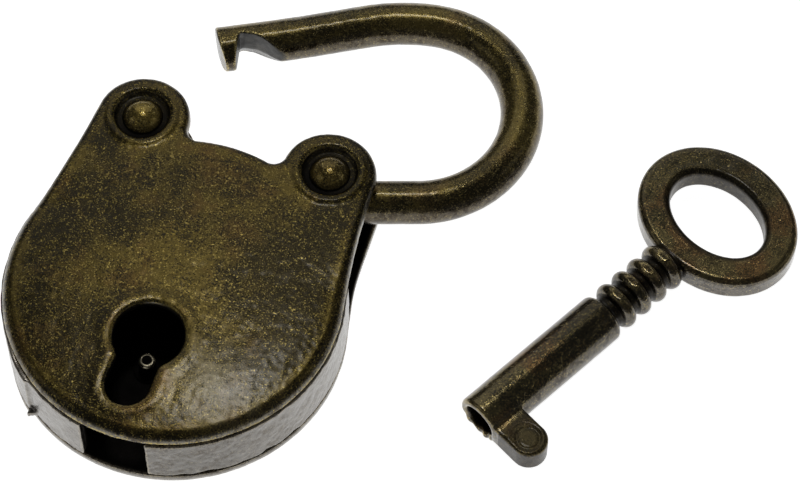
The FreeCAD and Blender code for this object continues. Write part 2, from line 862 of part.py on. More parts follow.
def key_profile():
    """Half section of the bored barrel, collared neck and shank, from the tip up to the bow."""
    zero = Size(0.0, "0")
    tip = dim("key_tip")
    barrel = dim("barrel_radius")
    chamfer = dim("barrel_chamfer")
    shank = dim("shank_radius")
    end = dim("barrel_end")
    tube = dim("collar_tube")
    bore = dim("bore_radius")
    bore_end = tip + dim("bore_depth")
    corners = [
        (zero, bore_end + bore / 2),
        (bore, bore_end),
        (bore, tip),
        (barrel - chamfer, tip),
        (barrel, tip + chamfer),
        (barrel, end - dim("shoulder")),
        (shank, end),
    ]
    for number in range(COLLARS):
        middle = dim("collar_first") + dim("collar_pitch") * number
        corners.append((shank, middle - tube, tube))
        corners.append((shank, middle + tube))
    corners.append((shank, dim("key_neck_end")))
    corners.append((zero, dim("key_neck_end")))
    return corners


def make_key():
    """A hollow barrel key in one casting, drawn upright and then laid beside the lock."""
    body = new_body("key")
    bow = new_sketch(body, "XY_Plane", "key_bow")
    middle = dim("bow_middle")
    add_ellipse(bow, middle, dim("bow_across"), dim("bow_along"))
    add_ellipse(bow, middle, dim("eye_across"), dim("eye_along"))
    ring = pad(body, bow, dim("bow_thick"), name="Bow", both_ways=True)
    doc.recompute()
    rounded = body.newObject("PartDesign::Fillet", "BowRound")
    edges = [f"Edge{n}" for n, e in enumerate(ring.Shape.Edges, start=1) if is_flat_loop(e)]
    rounded.Base = (ring, edges)
    bind(rounded, "Radius", dim("bow_fillet"))
    bit = new_sketch(body, "XY_Plane", "key_bit")
    half = (dim("bit_high") - dim("bit_low")) / 2
    end = dim("bit_reach") - half
    start = (dim("barrel_radius") + dim("bore_radius")) / 2
    low = dim("bit_low")
    high = dim("bit_high")
    add_loop(bit, [(start, low), (end, low, half), (end, high), (start, high)])
    pad(body, bit, dim("bit_thick"), name="Bit", both_ways=True)
    turned = new_sketch(body, "XY_Plane", "key_turned")
    add_loop(turned, key_profile())
    revolve(body, turned, "V_Axis")
    place(body, dim("key_x"), dim("key_y"), dim("key_z"))
    body.Placement.Rotation = Rotation(Vector(0, 0, 1), dim("key_angle").value - 90)
    body.setExpression("Placement.Rotation.Angle", "dims.key_angle - 90")
    return body


def is_flat_loop(edge):
    return edge.BoundBox.ZLength < FLAT


# ---------------------------------------------------------------- whole model

NODES = (
    "front_cover",
    "back_plate",
    "wall_left",
    "wall_right",
    "wall_top",
    "hinge_rivet",
    "ear_stud",
    "hinge_washer_back",
    "hinge_washer_front",
    "key_pin",
    "case_rivet_left",
    "case_rivet_right",
    "case_rivet_top",
    "bolt_guide_left",
    "bolt_guide_right",
    "bolt_spring",
    "bolt",
    "shackle",
    "key",
)


def check_and_export():
    """Stops on any failed feature, and writes one STEP file for each sub-part."""
    for thing in doc.Objects:
        if "Invalid" in thing.State or "Error" in thing.State:
            raise RuntimeError(f"{thing.Label} failed: {thing.State}")
    os.makedirs("parts", exist_ok=True)
    for label in NODES:
        shape = doc.getObjectsByLabel(label)[0].Shape
        if shape.isNull() or not shape.isValid():
            raise RuntimeError(f"{label} has no valid shape")
        shape.exportStep(f"parts/{label}.step")
        low = shape.BoundBox
        print(f"{label:20s} {len(shape.Solids)} solid {shape.Volume:9.2f} mm3", low)


make_back_plate()
make_walls(make_wall_ring())
make_front_cover()
make_hinge_rivet()
make_ear_stud()
make_hinge_washers()
make_key_pin()
make_case_rivets()
make_bolt_guides()
make_bolt_spring()
make_bolt()
make_shackle()
make_key()
doc.recompute()
check_and_export()
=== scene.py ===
"""Looks of a small antique-bronze padlock and its barrel key.

The outside pieces are skinned from distance fields in millimetres, so that edges are rounded
and castings are a little uneven, and each one takes the place of the CAD node it stands for.
"""

import itertools
import json
import math

import bpy
import numpy as np
from mathutils import Matrix, Vector


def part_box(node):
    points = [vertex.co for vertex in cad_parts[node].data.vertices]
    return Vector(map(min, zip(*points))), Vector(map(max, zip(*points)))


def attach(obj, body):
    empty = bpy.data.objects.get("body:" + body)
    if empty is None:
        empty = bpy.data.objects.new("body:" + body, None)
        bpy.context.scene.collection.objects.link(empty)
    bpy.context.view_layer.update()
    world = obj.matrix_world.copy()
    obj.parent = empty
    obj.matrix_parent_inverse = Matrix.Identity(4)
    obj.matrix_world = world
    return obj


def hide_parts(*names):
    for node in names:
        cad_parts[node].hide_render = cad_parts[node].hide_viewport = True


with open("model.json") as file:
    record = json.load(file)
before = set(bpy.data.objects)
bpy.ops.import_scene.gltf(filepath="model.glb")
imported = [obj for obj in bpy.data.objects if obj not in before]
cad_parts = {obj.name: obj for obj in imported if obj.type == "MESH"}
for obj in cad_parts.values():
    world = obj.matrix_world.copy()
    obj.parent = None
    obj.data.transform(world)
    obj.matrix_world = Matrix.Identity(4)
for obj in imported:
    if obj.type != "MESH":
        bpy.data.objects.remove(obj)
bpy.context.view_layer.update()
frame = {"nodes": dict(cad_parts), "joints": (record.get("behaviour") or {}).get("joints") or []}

MM = 0.001


def span(node):
    """Lowest and highest corner of a CAD node, in millimetres."""
    low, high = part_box(node)
    return np.array(low) / MM, np.array(high) / MM


def centre(node):
    """Middle of a CAD node's box, in millimetres."""
    low, high = span(node)
    return (low + high) / 2


# ---------------------------------------------------------------- sizes, from the frame

# Outline of the case.
PLATE_HIGH = span("back_plate")[1]
CASE_R = PLATE_HIGH[0]
EAR_R = 4.4
EAR = (8.78, PLATE_HIGH[1] - EAR_R)
FLANK_R = 69.0
CORNER_R = 0.9
BODY_TOP = 9.0
BODY_FADE = 5.0

# Levels, from the underside up.
PLATE = PLATE_HIGH[2]
SEAM = span("front_cover")[0][2]
HOLLOW_TOP = 7.05
WELL_FLOOR = 7.3
FACE = span("front_cover")[1][2]

# Front cover.
COVER_INSET = 0.15
COVER_DRAFT = 0.08
DOME_R = 450.0
FACE_DROP = 0.03
ROLL_REACH = 5.5
ROLL = 0.009
EAR_ROUND = 0.6
BODY_ROUND = 0.35
HOLLOW_R = 12.6
WELL_R = 2.42
LIP_RISE = 0.15
KEYHOLE = (-0.2, -5.3)
KEYHOLE_R = 3.1
KEYHOLE_RISE = 0.07
SLOT_HALF = 1.9
SLOT_Y = -10.25

# Walls. The window is as wide on the left of the middle as on the right.
WALL = 1.2
WALL_TO_PLATE = 0.05
WALL_TO_COVER = 0.06
WINDOW = span("wall_right")[0][0]
HEEL_SLOT_Y = span("wall_right")[1][1]
LEFT_WALL_X = -11.6
LEFT_WALL_BEND = 11.0
LEFT_WALL_TOP = span("wall_left")[1][1]
TOP_WALL = span("wall_top")[1][0]
TOP_WALL_Y = 10.0
BURR_ANGLE = -2.18
BURR_REACH = 0.7
PROUD = 0.26
SHORT = 0.24

# Rivet heads and the key pin.
HINGE = centre("hinge_rivet")
STUD = centre("ear_stud")
HEAD_TOP = span("hinge_rivet")[1][2]
HEAD_R = (span("ear_stud")[1][0] - span("ear_stud")[0][0]) / 2
KEY_PIN = centre("key_pin")
KEY_PIN_TOP = span("key_pin")[1][2]

# Shackle and key.
SHACKLE_HINGE = next(j for j in frame["joints"] if j["name"] == "shackle_hinge")
OPEN_ANGLE = math.radians(SHACKLE_HINGE["range_deg"][1])
BAR_R = (span("shackle")[1][2] - span("shackle")[0][2]) / 2
BAR_Z = SHACKLE_HINGE["pos_m"][2] / MM
KEY_AXIS = (28.52, -0.64, 2.3)
KEY_ANGLE = math.radians(62.14)


# ---------------------------------------------------------------- distance fields


def circle(x, y, cx, cy, radius):
    """Distance outside a circle."""
    return np.hypot(x - cx, y - cy) - radius


def from_axis(x, y, at):
    """Distance from the upright axis through a point."""
    return np.hypot(x - at[0], y - at[1])


def near(value, middle, width):
    """1 where value is at middle, falling softly to 0 at about twice the width from it."""
    return np.exp(-(((value - middle) / width) ** 2))


def round_meet(a, b, radius):
    """What is inside both a and b, with the edge between them rounded to a radius."""
    a = a + radius
    b = b + radius
    inner = np.minimum(np.maximum(a, b), 0)
    return inner + np.hypot(np.maximum(a, 0), np.maximum(b, 0)) - radius


def round_join(a, b, radius):
    """What is inside a or b, with the corner between them filled."""
    return -round_meet(-a, -b, radius)


def left_of(x, y, start, end):
    """Distance outside the half-plane that lies left of the line from start to end."""
    dx = end[0] - start[0]
    dy = end[1] - start[1]
    return ((x - start[0]) * dy - (y - start[1]) * dx) / math.hypot(dx, dy)


def circle_meeting(centre_a, radius_a, centre_b, radius_b, side):
    """Where two circles meet: left of the line from a to b for side 1, right of it for -1."""
    gap = math.dist(centre_a, centre_b)
    along = (gap**2 + radius_a**2 - radius_b**2) / (2 * gap)
    off = side * math.sqrt(radius_a**2 - along**2)
    ux = (centre_b[0] - centre_a[0]) / gap
    uy = (centre_b[1] - centre_a[1]) / gap
    return (centre_a[0] + along * ux - off * uy, centre_a[1] + along * uy + off * ux)


ORIGIN = (0.0, 0.0)
FLANK = circle_meeting(ORIGIN, CASE_R + FLANK_R, EAR, EAR_R + FLANK_R, -1)
CORNER = circle_meeting(ORIGIN, CASE_R + CORNER_R, EAR, EAR_R + CORNER_R, 1)


def web(x, y, hollow, radius, side):
    """The metal between case and ear that a hollow arc bounds, on one side of the ear."""
    inside = -circle(x, y, *hollow, radius)
    order = ((ORIGIN, hollow), (hollow, EAR), (EAR, ORIGIN))
    for start, end in order:
        line = left_of(x, y, start, end)
        inside = np.maximum(inside, line if side < 0 else -line)
    return inside


def case_outline(x, y):
    """Distance outside the round case with its two ears."""
    x = np.abs(x)
    case = circle(x, y, *ORIGIN, CASE_R)
    ear = circle(x, y, *EAR, EAR_R)
    flank = web(x, y, FLANK, FLANK_R, -1)
    corner = web(x, y, CORNER, CORNER_R, 1)
    return np.minimum(np.minimum(case, ear), np.minimum(flank, corner))


def keyhole(x, y):
    """Round hole for the barrel with a round-ended slot below it for the bit."""
    barrel = circle(x, y, *KEYHOLE, KEYHOLE_R)
    along = np.clip(y, SLOT_Y, KEYHOLE[1])
    slot = np.hypot(x - KEYHOLE[0], y - along) - SLOT_HALF
    return round_join(barrel, slot, 0.35)


def crown(x, y):
    """Height of the domed face, which rolls off towards its rim."""
    from_rim = np.clip(ROLL_REACH + case_outline(x, y), 0, ROLL_REACH) * on_body(y)
    return FACE - FACE_DROP - (x**2 + y**2) / (2 * DOME_R) - ROLL * from_rim**2


def on_body(y):
    """1 on the round body of the case, 0 up at the ears."""
    return np.clip((BODY_TOP - y) / BODY_FADE, 0, 1)


def cover_field(x, y, z):
    """Domed face with a rounded rim, sunk wells with soft lips, and the keyhole."""
    side = case_outline(x, y) + COVER_INSET + COVER_DRAFT * (z - SEAM)
    well = circle(np.abs(x), y, HINGE[0], HINGE[1], WELL_R)
    lip = LIP_RISE * near(well, 0.5, 0.4)
    hole = keyhole(x, y)
    swell = KEYHOLE_RISE * near(hole, 0.75, 0.6)
    solid = round_meet(side, z - crown(x, y) - lip - swell, EAR_ROUND + BODY_ROUND * on_body(y))
    solid = round_meet(solid, SEAM + 0.02 - z, 0.1)
    solid = round_meet(solid, -round_meet(well, WELL_FLOOR - z, 0.3), 0.22)
    hollow = np.maximum(circle(x, y, *ORIGIN, HOLLOW_R), z - HOLLOW_TOP)
    solid = np.maximum(solid, -hollow)
    return round_meet(solid, -hole, 0.3)


def cover_gloom(x, y, z):
    """Painted shade: 1 deep in the wells and the keyhole and on the underside."""
    return np.where(case_outline(x, y) < -1.2, (crown(x, y) - z - 0.2) / 0.3, 0)


def cover_rub(x, y, z):
    """Where the face is painted brighter: rubbed by hands and pockets along its rim and round the
    keyhole, with painted light in its middle and a painted sheen low on its right.
    """
    # Painted light: the middle of the face is painted brighter.
    middle = 0.75 * near(x, -2, 8.5) * near(y, 1, 8.5)
    # Painted sheen, low on the right of the face.
    low = 0.5 * near(x, 6.5, 5) * near(y, -8.5, 4)
    rim = 0.55 * near(case_outline(x, y), -1.2, 0.5)
    lip = 0.6 * near(keyhole(x, y), 0.4, 0.45)
    return middle + low + rim + lip


def cover_bare(x, y, z):
    """Painted sheen: a pale grey patch on the face, right of the keyhole."""
    return 0.5 * near(x, 7.5, 4) * near(y, -8, 3)


def stray(x, y):
    """How far the wall and plate stand out past the true outline, or fall short of it."""
    angle = np.arctan2(y, x)
    before_burr = np.clip((angle + 2.5) / 0.25, 0, 1) * np.clip((BURR_ANGLE - angle) / 0.02, 0, 1)
    return PROUD * before_burr - SHORT * near(y, 8.5, 3.2) * (x > 0)


def ring_wall(x, y, z):
    """The case wall, with an uneven foot where it was dressed by hand."""
    outline = case_outline(x, y) - stray(x, y)
    ring = np.maximum(outline, -(outline + WALL))
    angle = np.arctan2(y, x)
    bite = 0.5 + 0.5 * np.sin(angle * 25 + 2 * np.sin(angle * 11))
    foot = PLATE + WALL_TO_PLATE + 0.4 * bite * near(angle, -0.88, 0.35)
    wave = np.sin(angle * 7 + 2 * np.sin(angle * 3)) ** 6
    brow = SEAM - WALL_TO_COVER - 0.1 * wave
    return round_meet(ring, np.maximum(foot - z, z - brow), 0.14)


def wall_gloom(x, y, z):
    """Painted shade: 1 on the inner side of the wall."""
    return (-case_outline(x, y) - 0.35) / 0.5


def wall_bare(x, y, z):
    """Painted reflection: all the wall's left side and its right shoulder are painted a paler grey."""
    return np.where(x < 0, 0.36, 0.3 * np.clip((x - 9) / 5, 0, 1))


def wall_left_field(x, y, z):
    """Left wall, up round the ear, with a small hooked burr at its foot."""
    low = np.maximum(x + WINDOW, y - LEFT_WALL_BEND)
    ear = np.maximum(x - LEFT_WALL_X, y - LEFT_WALL_TOP)
    wall = round_meet(ring_wall(x, y, z), np.minimum(low, ear), 0.16)
    out = case_outline(x, y)
    along = (np.arctan2(y, x) - BURR_ANGLE) * CASE_R - 0.05
    burr = np.maximum(np.abs(along) - 0.5 + 0.65 * out, out - BURR_REACH)
    burr = np.maximum(burr, np.abs(z - PLATE - 0.3) - 0.3)
    return round_join(wall, np.maximum(burr, -0.4 - out), 0.08)


def wall_right_field(x, y, z):
    """Right wall, from the window to the slot that the shackle swings in."""
    reach = np.maximum(WINDOW - x, y - HEEL_SLOT_Y)
    return round_meet(ring_wall(x, y, z), reach, 0.16)


def wall_top_field(x, y, z):
    """Short wall between the ears."""
    reach = np.maximum(np.abs(x) - TOP_WALL, TOP_WALL_Y - y)
    return round_meet(ring_wall(x, y, z), reach, 0.16)


# Radius of the shaft and of the tail of everything that is riveted into the back plate.
RIVETS = {
    "hinge_rivet": (1.2, 1.9),
    "key_pin": (1.0, 1.2),
    "case_rivet_left": (0.8, 1.2),
    "case_rivet_right": (0.8, 1.2),
    "case_rivet_top": (0.8, 1.2),
    "bolt_guide_left": (0.8, 1.2),
    "bolt_guide_right": (0.8, 1.2),
}
TAIL_DEPTH = 0.5
# How dark the key pin's tail under the plate is painted, as painted shade.
TAIL_PAINTED_SHADE = 0.8
HOLE_GAP = 0.02
STUD_SHANK_R = 0.9
PIN_R = 0.76
PIN_FOOT_R = 1.3
PIN_FOOT_Z = 1.05
# Radius of the disc of painted shade in the middle of the key pin's tip.
PIN_PAINTED_SHADE_R = 0.54
DISH = 0.18


def rivet_radius(z, node):
    """Radius of a rivet at a height, which widens to fill the countersunk hole in the plate."""
    shaft, tail = RIVETS[node]
    return shaft + (tail - shaft) * np.clip(1 - z / TAIL_DEPTH, 0, 1)


def plate_field(x, y, z):
    """Flat back plate with softened edges and a countersunk hole at each riveted tail."""
    middle = PLATE / 2
    solid = round_meet(case_outline(x, y) - stray(x, y), np.abs(z - middle) - middle, 0.2)
    for node in RIVETS:
        hole = rivet_radius(z, node) + HOLE_GAP
        solid = round_meet(solid, hole - from_axis(x, y, centre(node)), 0.06)
    return solid


def plate_gloom(x, y, z):
    """Painted shade: 1 on the side of the plate that faces the works."""
    return np.where(z > PLATE / 2, (-case_outline(x, y) - 0.1) / 0.25, 0)


def plate_bare(x, y, z):
    """Paler towards the plate's lower edge."""
    return (0.6 - z) / 0.3


def head_field(x, y, z, at):
    """A round rivet head."""
    height = HEAD_TOP - WELL_FLOOR
    sphere_r = (HEAD_R**2 + height**2) / (2 * height)
    ball = np.hypot(from_axis(x, y, at), z - (HEAD_TOP - sphere_r)) - sphere_r
    return round_meet(ball, WELL_FLOOR - 0.05 - z, 0.1)


def head_gloom(x, y, z):
    """Painted shade: dark round the foot of the head, and inside the case down to the plate."""
    return np.where(z > PLATE, (WELL_FLOOR + 0.6 - z) / 0.5, 0)


def hinge_rivet_field(x, y, z):
    """The rivet that the shackle turns on, with a dished tail."""
    reach = from_axis(x, y, HINGE)
    post = np.maximum(reach - rivet_radius(z, "hinge_rivet"), z - WELL_FLOOR - 0.2)
    post = round_meet(post, DISH * near(reach, 0, 1.0) - z, 0.08)
    return np.minimum(post, head_field(x, y, z, HINGE))


def ear_stud_field(x, y, z):
    """The stud that matches the hinge rivet, and is set in the cover only."""
    low = span("ear_stud")[0][2]
    reach = from_axis(x, y, STUD) - STUD_SHANK_R
    shank = round_meet(reach, np.maximum(low - z, z - WELL_FLOOR - 0.2), 0.1)
    return np.minimum(shank, head_field(x, y, z, STUD))


def key_pin_field(x, y, z):
    """The pin that the key's bore fits over, with a thin foot on the plate."""
    reach = from_axis(x, y, KEY_PIN)
    post = round_meet(reach - PIN_R, z - KEY_PIN_TOP, 0.25)
    foot = round_meet(reach - PIN_FOOT_R, np.abs(z - PIN_FOOT_Z) - 0.1, 0.08)
    tail = np.maximum(reach - rivet_radius(z, "key_pin"), z - PLATE)
    whole = np.minimum(np.minimum(post, foot), tail)
    return round_meet(whole, -z, 0.05)


def key_pin_gloom(x, y, z):
    """Painted shade: dark below the tip and in a disc in the middle of the tip, which leaves a bright
    ring round the tip, and duller at its tail under the plate.
    """
    below = (KEY_PIN_TOP - 0.12 - z) / 0.2
    inside = (PIN_PAINTED_SHADE_R - from_axis(x, y, KEY_PIN)) / 0.1
    dark = np.maximum(below, inside)
    return np.where(z > PLATE, dark, TAIL_PAINTED_SHADE)


# Shackle, in the plane of the lock, with its hinge at the origin and the lock shut.
LEG_X = -16.7
NOSE_Y = -7.18
LEG_TOP = NOSE_Y + 13.55
SHOULDER_R = 18.0
BOW_R = 9.4
BOW_X = -6.79
SHOULDER = (LEG_X + SHOULDER_R, LEG_TOP)
BOW = (BOW_X, LEG_TOP + math.sqrt((SHOULDER_R - BOW_R) ** 2 - (SHOULDER[0] - BOW_X) ** 2))
HEEL = (1.05, 0.5)
JOIN_ANGLE = math.atan2(BOW[1] - SHOULDER[1], BOW[0] - SHOULDER[0])
REACH = (BOW[0] - HEEL[0], BOW[1] - HEEL[1])
HEEL_ANGLE = math.atan2(REACH[1], REACH[0]) - math.asin(BOW_R / math.hypot(*REACH)) - math.pi / 2
TOUCH = (BOW[0] + BOW_R * math.cos(HEEL_ANGLE), BOW[1] + BOW_R * math.sin(HEEL_ANGLE))
EYE_R = 3.1
EYE_HALF = 1.75
EYE_HOLE = 1.25
FAR = 100.0
BAR_ZONE = 5.0
TOOTH = 1.25
TOOTH_ROOT = 2.05
NOTCH_FLOOR = 0.5
NOTCH_END = 4.0
NOTCH_RISE = 0.25
RAMP_MARGIN = 0.1
RAMP_END = 6.2
RAMP_R = 4.5
LEAN = 0.32
LEAN_REACH = 9.0
BEVEL_REACH = 1.0
BEVEL = 0.6
TOOTH_PROUD = 0.3
UNDERCUT = 0.35
UNDERCUT_TOP = -0.7
CUT_EDGE = 0.12


def shackle_line(x, y):
    """Distance in plan to the middle line of the bar, whose nose leans a little outwards."""
    lean = LEAN * np.clip(1 - (y - NOSE_Y) / LEAN_REACH, 0, 1) ** 1.5
    leg = np.where(y < LEG_TOP, np.abs(x - LEG_X + lean), FAR)
    angle = np.arctan2(y - SHOULDER[1], x - SHOULDER[0]) % (2 * math.pi)
    on_shoulder = (angle > JOIN_ANGLE) & (angle <= math.pi)
    shoulder = np.abs(circle(x, y, *SHOULDER, SHOULDER_R))
    shoulder = np.where(on_shoulder & (shoulder < BAR_ZONE), shoulder, FAR)
    turn = np.arctan2(y - BOW[1], x - BOW[0])
    on_bow = (turn > HEEL_ANGLE) & (turn <= JOIN_ANGLE)
    bow = np.where(on_bow, np.abs(circle(x, y, *BOW, BOW_R)), FAR)
    run = (TOUCH[0] - HEEL[0], TOUCH[1] - HEEL[1])
    share = ((x - HEEL[0]) * run[0] + (y - HEEL[1]) * run[1]) / (run[0] ** 2 + run[1] ** 2)
    share = np.clip(share, 0, 1)
    heel = np.hypot(x - HEEL[0] - share * run[0], y - HEEL[1] - share * run[1])
    return np.minimum(np.minimum(leg, shoulder), np.minimum(bow, heel))


def notch(x, y):
    """The space that the bolt's finger enters, between the tooth and the ramp."""
    inner = LEG_X + BAR_R
    tip = (inner, NOSE_Y + TOOTH)
    root = (LEG_X - NOTCH_FLOOR, NOSE_Y + TOOTH_ROOT)
    floor_end = (LEG_X + NOTCH_RISE, NOSE_Y + NOTCH_END)
    ramp_end = (inner + RAMP_MARGIN, NOSE_Y + RAMP_END)
    ramp_centre = circle_meeting(ramp_end, RAMP_R, floor_end, RAMP_R, -1)
    ramp = -circle(x, y, *ramp_centre, RAMP_R)
    pocket = round_meet(left_of(x, y, root, tip), left_of(x, y, floor_end, root), 0.4)
    pocket = round_meet(pocket, ramp, 0.5)
    return np.where(y < ramp_centre[1], pocket, FAR)


def undercut(z):
    """How much wider the notch is towards the underside of the bar."""
    return UNDERCUT * np.clip(UNDERCUT_TOP - z, 0, 1)


def shackle_field(x, y, z):
    """The bent bar with its hinge eye and its notched nose."""
    on_tooth = np.clip(4 * (TOOTH_ROOT - y + NOSE_Y), 0, 1) * np.clip((x - LEG_X) / BAR_R, 0, 1)
    bar = np.hypot(shackle_line(x, y), z) - BAR_R - TOOTH_PROUD * on_tooth
    nose = round_meet(bar, NOSE_Y - y, 0.2)
    bevel_start = (LEG_X, NOSE_Y)
    bevel_end = (LEG_X + BAR_R + BEVEL_REACH, NOSE_Y + BEVEL)
    nose = round_meet(nose, left_of(x, y, bevel_start, bevel_end), 0.15)
    nose = round_meet(nose, undercut(z) - notch(x, y), 0.12)
    eye = round_meet(np.hypot(x, y) - EYE_R, np.abs(z) - EYE_HALF, 0.2)
    whole = round_join(nose, eye, 0.25)
    return round_meet(whole, EYE_HOLE - np.hypot(x, y), 0.1)


def notch_cut(x, y, z):
    """1 on the faces of the notch."""
    off_face = np.maximum(np.abs(notch(x, y)) - undercut(z), 0)
    return np.where(np.hypot(x - LEG_X, z) < BAR_R - 0.05, 1 - off_face / CUT_EDGE, 0)


def shackle_gloom(x, y, z):
    """The upper part of the notch is painted dark, as painted shade, and its lower edge is worn pale."""
    return 0.55 * np.clip(notch_cut(x, y, z), 0, 1) * np.clip((z + 0.9) / 0.5, 0, 1)


def shackle_bare(x, y, z):
    """1 on the cut faces of the nose, where the metal under the plating shows."""
    end_face = 1 - np.abs(y - NOSE_Y - 0.05) / CUT_EDGE
    return np.maximum(notch_cut(x, y, z), end_face)


# Key, lying flat along +Y from its tip to its bow.
KEY_TIP = -0.6
BARREL_R = 2.3
BARREL_END = 14.9
BORE_R = 1.55
BORE_END = 11.3
SHANK_R = 1.58
COLLAR_R = 0.68
COLLAR_FLAT = 2.14
COLLAR_FIRST = 16.1
COLLAR_PITCH = 1.87
COLLARS = 4
NECK_END = 22.55
BOW_MIDDLE = 28.66
BOW_ACROSS = 6.3
BOW_ALONG = 4.88
BOW_HALF = 1.45
BOW_FLAT = 1.35
BOW_EDGE = 0.62
BIT_LOW = -0.55
BIT_HIGH = 2.7
BIT_REACH = 6.2
BIT_HALF = 1.3
RING_WIDTH = 0.16
# Middle, radius and depth of each ring mark on the bit. A negative depth stands proud.
RING_MARKS = (((4.5, 1.0), 1.0, 0.045), ((4.3, 0.9), 1.5, -0.035))


def oval_ring(x, y, z):
    """The bow: a rounded-square section swept round an oval."""
    dy = y - BOW_MIDDLE
    level = np.hypot(x / BOW_ACROSS, dy / BOW_ALONG)
    slope = np.hypot(x / BOW_ACROSS**2, dy / BOW_ALONG**2)
    across = (level - 1) * level / np.maximum(slope, 1e-6)
    return round_meet(np.abs(across) - BOW_HALF, np.abs(z) - BOW_FLAT, BOW_EDGE)


def key_bit(x, y, z):
    """The round-ended bit, with its ring marks."""
    half = (BIT_HIGH - BIT_LOW) / 2
    middle = (BIT_HIGH + BIT_LOW) / 2
    along = np.clip(x, BARREL_R - 0.5, BIT_REACH - half)
    plan = np.hypot(x - along, y - middle) - half
    plan = np.maximum(plan, BARREL_R - 0.6 - x)
    groove = 0.0
    for at, radius, depth in RING_MARKS:
        groove = groove + depth * near(circle(x, y, *at, radius), 0, RING_WIDTH)
    return round_meet(plan, np.abs(z) - BIT_HALF + groove, 0.28)


def key_field(x, y, z):
    """Hollow barrel, collared neck, bow and bit in one casting."""
    reach = np.hypot(x, z)
    ragged = 0.13 + 0.13 * np.sin(4.3 * x + 1.0) * np.sin(3 * z + 2 * x)
    tip = KEY_TIP + ragged * np.clip(-z - 0.2, 0, 1)
    barrel = round_meet(reach - BARREL_R, tip - y, 0.42)
    barrel = round_meet(barrel, y - BARREL_END + 0.25, 0.55)
    shank = np.maximum(reach - SHANK_R, BARREL_END - 2 - y)
    shank = round_meet(shank, y - NECK_END, 0.3)
    whole = round_join(barrel, shank, 0.15)
    for number in range(COLLARS):
        at = COLLAR_FIRST + COLLAR_PITCH * number
        bead = np.hypot(reach - SHANK_R + 0.02, y - at) - COLLAR_R
        bead = round_meet(bead, z - COLLAR_FLAT, 0.05)
        whole = round_join(whole, bead, 0.12)
    whole = round_join(whole, oval_ring(x, y, z), 0.2)
    whole = round_join(whole, key_bit(x, y, z), 0.15)
    bore = np.maximum(reach - BORE_R, y - BORE_END)
    return round_meet(whole, -bore, 0.3)


def key_gloom(x, y, z):
    """Painted shade: dark in the bore, between the collars, inside the bow and on the bit."""
    reach = np.hypot(x, z)
    inside = np.where(y < BORE_END + 1, (BORE_R + 0.12 - reach) / 0.2, 0)
    near_groove = np.abs((y - COLLAR_FIRST) / COLLAR_PITCH % 1 - 0.5)
    groove = (0.28 - near_groove) / 0.2 * (reach < SHANK_R + 0.25)
    groove = np.where((y > BARREL_END) & (y < NECK_END + 0.4), np.clip(groove, 0, 0.8), 0)
    level = np.hypot(x / BOW_ACROSS, (y - BOW_MIDDLE) / BOW_ALONG)
    bow_wall = 0.6 * (level < 0.86) * (y > NECK_END)
    bit = 0.6 * (x > BARREL_R + 0.1) * (y < BIT_HIGH + 0.5)
    return np.maximum(np.maximum(inside, groove), np.maximum(bow_wall, bit))


# ---------------------------------------------------------------- skin of a field

NUDGE = 0.02
NEWTON_STEPS = 3
EVENING_ROUNDS = 2
FINE_REACH = 0.3
WIDE_REACH = 1.1
LONG_RIPPLE = 3.2
SHORT_RIPPLE = 0.9
SHORT_SHARE = 0.45
WAVES = 14
LEVEL_NORMAL = 0.75
FLANK_BLEND = 0.3


def slope_of(field, points):
    """Gradient of a field by central differences."""
    slope = np.empty_like(points)
    for axis in range(3):
        step = np.zeros(3)
        step[axis] = NUDGE
        ahead = field(*(points + step).T)
        behind = field(*(points - step).T)
        slope[:, axis] = (ahead - behind) / (2 * NUDGE)
    return slope


def draw_onto(field, points, step):
    """Moves points onto the surface of a field, by Newton steps along its slope."""
    for _ in range(NEWTON_STEPS):
        slope = slope_of(field, points)
        size = np.maximum((slope**2).sum(1), 0.05)
        move = (field(*points.T) / size)[:, None] * slope
        points = points - np.clip(move, -step, step)
    return points


def even_out(points, quads):
    """Moves each point to the middle of its neighbours."""
    start = quads.ravel()
    end = np.roll(quads, -1, axis=1).ravel()
    start, end = np.concatenate([start, end]), np.concatenate([end, start])
    count = np.bincount(start, minlength=len(points))
    total = [np.bincount(start, points[end, i], len(points)) for i in range(3)]
    return np.stack(total, 1) / count[:, None]


def skin(field, low, high, step):
    """Points and quads of the closed surface where the field is zero, by surface nets."""
    low = np.asarray(low, float)
    counts = np.ceil((np.asarray(high) - low) / step).astype(int) + 1
    axes = [low[i] + step * np.arange(counts[i]) for i in range(3)]
    inside = field(*np.meshgrid(*axes, indexing="ij")) < 0
    corners = []
    for dx, dy, dz in itertools.product((0, 1), repeat=3):
        corners.append(inside[dx : counts[0] - 1 + dx, dy : counts[1] - 1 + dy, dz : counts[2] - 1 + dz])
    crossed = np.logical_or.reduce(corners) & ~np.logical_and.reduce(corners)
    number = np.full(crossed.shape, -1)
    number[crossed] = np.arange(crossed.sum())
    points = low + step * (np.argwhere(crossed) + 0.5)
    quads = []
    for axis, (u, v) in enumerate(((1, 2), (2, 0), (0, 1))):
        before = np.take(inside, range(counts[axis] - 1), axis)
        after = np.take(inside, range(1, counts[axis]), axis)
        edges = np.argwhere(before != after)
        leaves = before[tuple(edges.T)]
        ring = []
        for du, dv in ((0, 0), (-1, 0), (-1, -1), (0, -1)):
            cell = edges.copy()
            cell[:, u] += du
            cell[:, v] += dv
            ring.append(number[tuple(cell.T)])
        ring = np.stack(ring, 1)
        ring[~leaves] = ring[~leaves][:, ::-1]
        quads.append(ring)
    quads = np.concatenate(quads)
    points = draw_onto(field, points, step)
    for _ in range(EVENING_ROUNDS):
        points = draw_onto(field, even_out(points, quads), step)
    return points, quads


def bend_of(field, points, reach):
    """How sharply the surface bulges (above 0) or is hollow (below 0) at a given scale."""
    total = -6 * field(*points.T)
    for axis in range(3):
        step = np.zeros(3)
        step[axis] = reach
        total += field(*(points + step).T) + field(*(points - step).T)
    return np.clip(total / reach**2, -4, 4)


